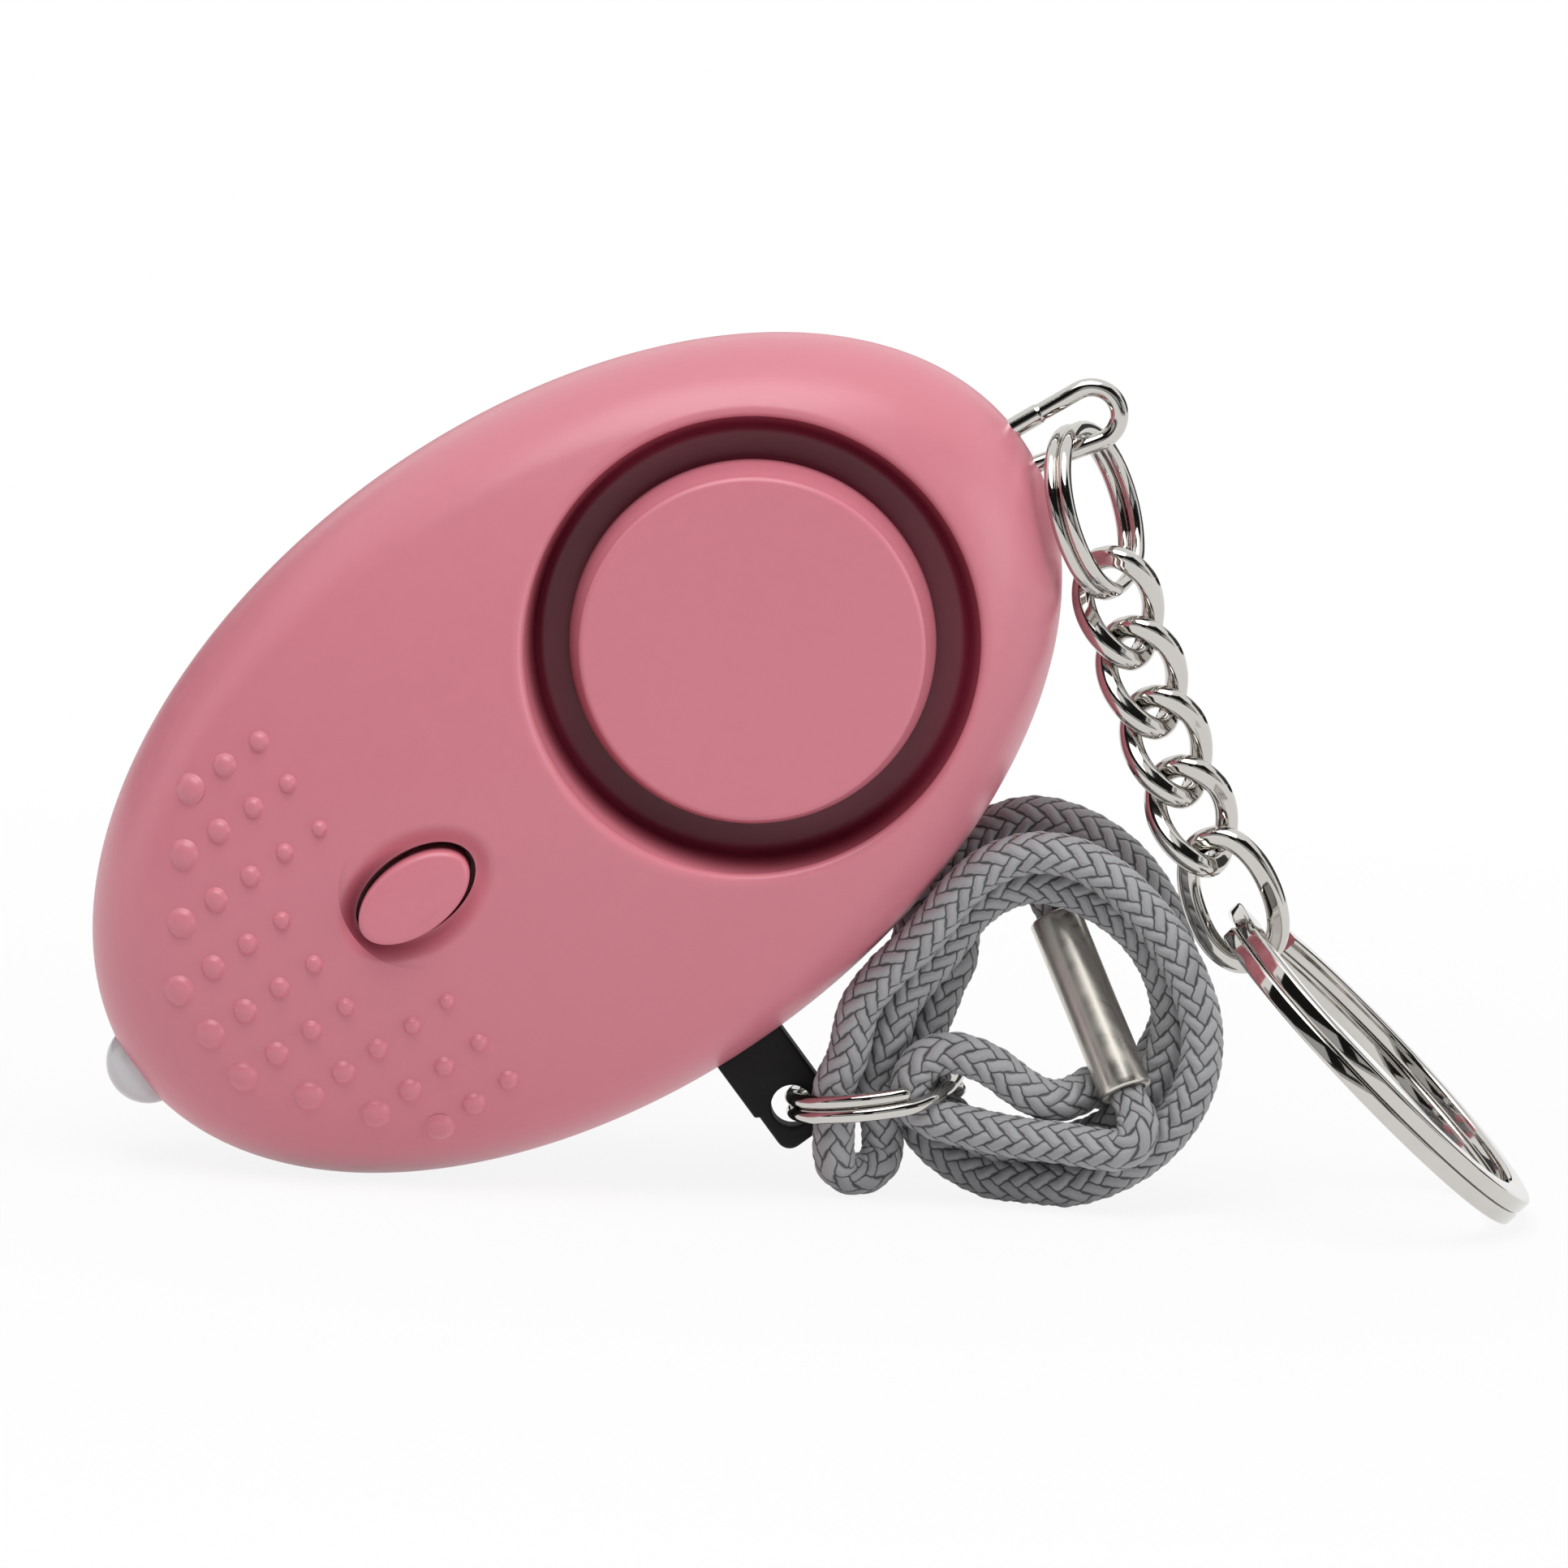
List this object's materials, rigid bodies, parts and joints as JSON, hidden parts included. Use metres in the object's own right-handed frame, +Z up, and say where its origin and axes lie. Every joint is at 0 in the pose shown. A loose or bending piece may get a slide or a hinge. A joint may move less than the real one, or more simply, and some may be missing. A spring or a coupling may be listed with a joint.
{
  "type": "personal safety alarm",
  "caption": "Oval pocket alarm with a sound cap, light button, lamp, pull pin on a coiled wrist cord, and a key chain; pulling the pin sets it off.",
  "frame": {"origin": "on the table under the middle of the object, without the cord and its ferrule", "axes": "+Z up, +X along the table from the lamp end to the key ring, face towards -Y; the body stands on its edge with its long axis raised 38.6 degrees"},
  "size_m": [0.0864, 0.025, 0.0515],
  "materials": {
    "pink_shell": "satin moulded plastic",
    "pink_button": "satin moulded plastic",
    "screw_steel": "plated steel",
    "black_plastic": "moulded plastic",
    "green_board": "lacquered board",
    "blue_sleeve": "shrink sleeve",
    "ferrite": "dark ceramic",
    "copper": "enamelled wire",
    "clear_lens": "clear resin",
    "tinned_wire": "tinned metal",
    "brass_sheet": "rolled sheet",
    "white_ceramic": "silvered ceramic",
    "black_foam": "foam",
    "red_wire": "wire sleeve",
    "grey_plastic": "moulded plastic",
    "cell_steel": "plated steel",
    "nickel_wire": "nickel plate",
    "nickel_link": "nickel plate",
    "grey_cord": "round braid",
    "ferrule_steel": "brushed sleeve"
  },
  "bodies": {
    "alarm": {"front_shell": "pink_shell", "rear_shell": "pink_shell", "sound_cap": "pink_shell", "shell_screws": "screw_steel", "switch_body": "black_plastic", "circuit_board": "green_board", "driver_chip": "black_plastic", "transistor": "black_plastic", "capacitor": "blue_sleeve", "coil_core": "ferrite", "coil_winding": "copper", "chip_resistors": "ferrite", "lamp": "clear_lens", "lamp_leads": "tinned_wire", "piezo_plate": "brass_sheet", "piezo_ceramic": "white_ceramic", "piezo_gasket": "black_foam", "piezo_leads": "red_wire", "cell_tray": "grey_plastic", "button_cell_1": "cell_steel", "button_cell_2": "cell_steel", "button_cell_3": "cell_steel", "cell_links": "tinned_wire", "cell_contact_plus": "tinned_wire", "cell_contact_minus": "tinned_wire", "contact_block": "black_plastic", "contact_leaf_lower": "brass_sheet", "contact_leaf_upper": "brass_sheet", "wire_bail": "nickel_wire"},
    "button": {"light_button": "pink_button", "switch_plunger": "black_plastic"},
    "pull_pin": {"pull_tab": "black_plastic"},
    "wrist_strap": {"pin_split_ring": "nickel_wire", "wrist_cord_coil": "grey_cord", "wrist_cord_lead": "grey_cord", "cord_ferrule": "ferrule_steel"},
    "bail_ring": {"bail_split_ring": "nickel_wire"},
    "link_1": {"chain_link_1": "nickel_link"},
    "link_2": {"chain_link_2": "nickel_link"},
    "link_3": {"chain_link_3": "nickel_link"},
    "link_4": {"chain_link_4": "nickel_link"},
    "link_5": {"chain_link_5": "nickel_link"},
    "key_ring": {"key_ring": "nickel_wire"}
  },
  "joints": [
    {"name": "button_press", "type": "slide", "parent": "alarm", "child": "button", "axis": [0, 1, 0], "range_m": [0, 0.0008], "stiffness_N_per_m": 200},
    {"name": "pin_pull", "type": "slide", "parent": "alarm", "child": "pull_pin", "axis": [0.6239, 0, -0.7815], "range_m": [0, 0.009]},
    {"name": "strap_swing", "type": "hinge", "parent": "pull_pin", "child": "wrist_strap", "pos_m": [-0.00109, 0, 0.00524], "axis": [0, 1, 0], "range_deg": [0, 20]},
    {"name": "bail_ring_swing", "type": "hinge", "parent": "alarm", "child": "bail_ring", "pos_m": [0.01366, 0, 0.04515], "axis": [0.9209, 0, 0.3897], "range_deg": [-12, 12]},
    {"name": "link_1_swing", "type": "hinge", "parent": "bail_ring", "child": "link_1", "pos_m": [0.01695, 0, 0.03705], "axis": [-0.3289, -0.9368, -0.119], "range_deg": [0, 18]},
    {"name": "link_2_swing", "type": "hinge", "parent": "link_1", "child": "link_2", "pos_m": [0.01814, 0, 0.03299], "axis": [-0.4702, -0.866, -0.1701], "range_deg": [0, 18]},
    {"name": "link_3_swing", "type": "hinge", "parent": "link_2", "child": "link_3", "pos_m": [0.0198, 0, 0.02891], "axis": [-0.4663, -0.866, -0.1805], "range_deg": [0, 18]},
    {"name": "link_4_swing", "type": "hinge", "parent": "link_3", "child": "link_4", "pos_m": [0.02155, 0, 0.02485], "axis": [-0.4603, -0.866, -0.1951], "range_deg": [0, 18]},
    {"name": "link_5_swing", "type": "hinge", "parent": "link_4", "child": "link_5", "pos_m": [0.02331, 0, 0.02078], "axis": [-0.4559, -0.866, -0.2054], "range_deg": [0, 18]},
    {"name": "key_ring_lift", "type": "hinge", "parent": "link_5", "child": "key_ring", "pos_m": [0.02502, 0, 0.01732], "axis": [0, -1, 0], "range_deg": [0, 35]}
  ]
}
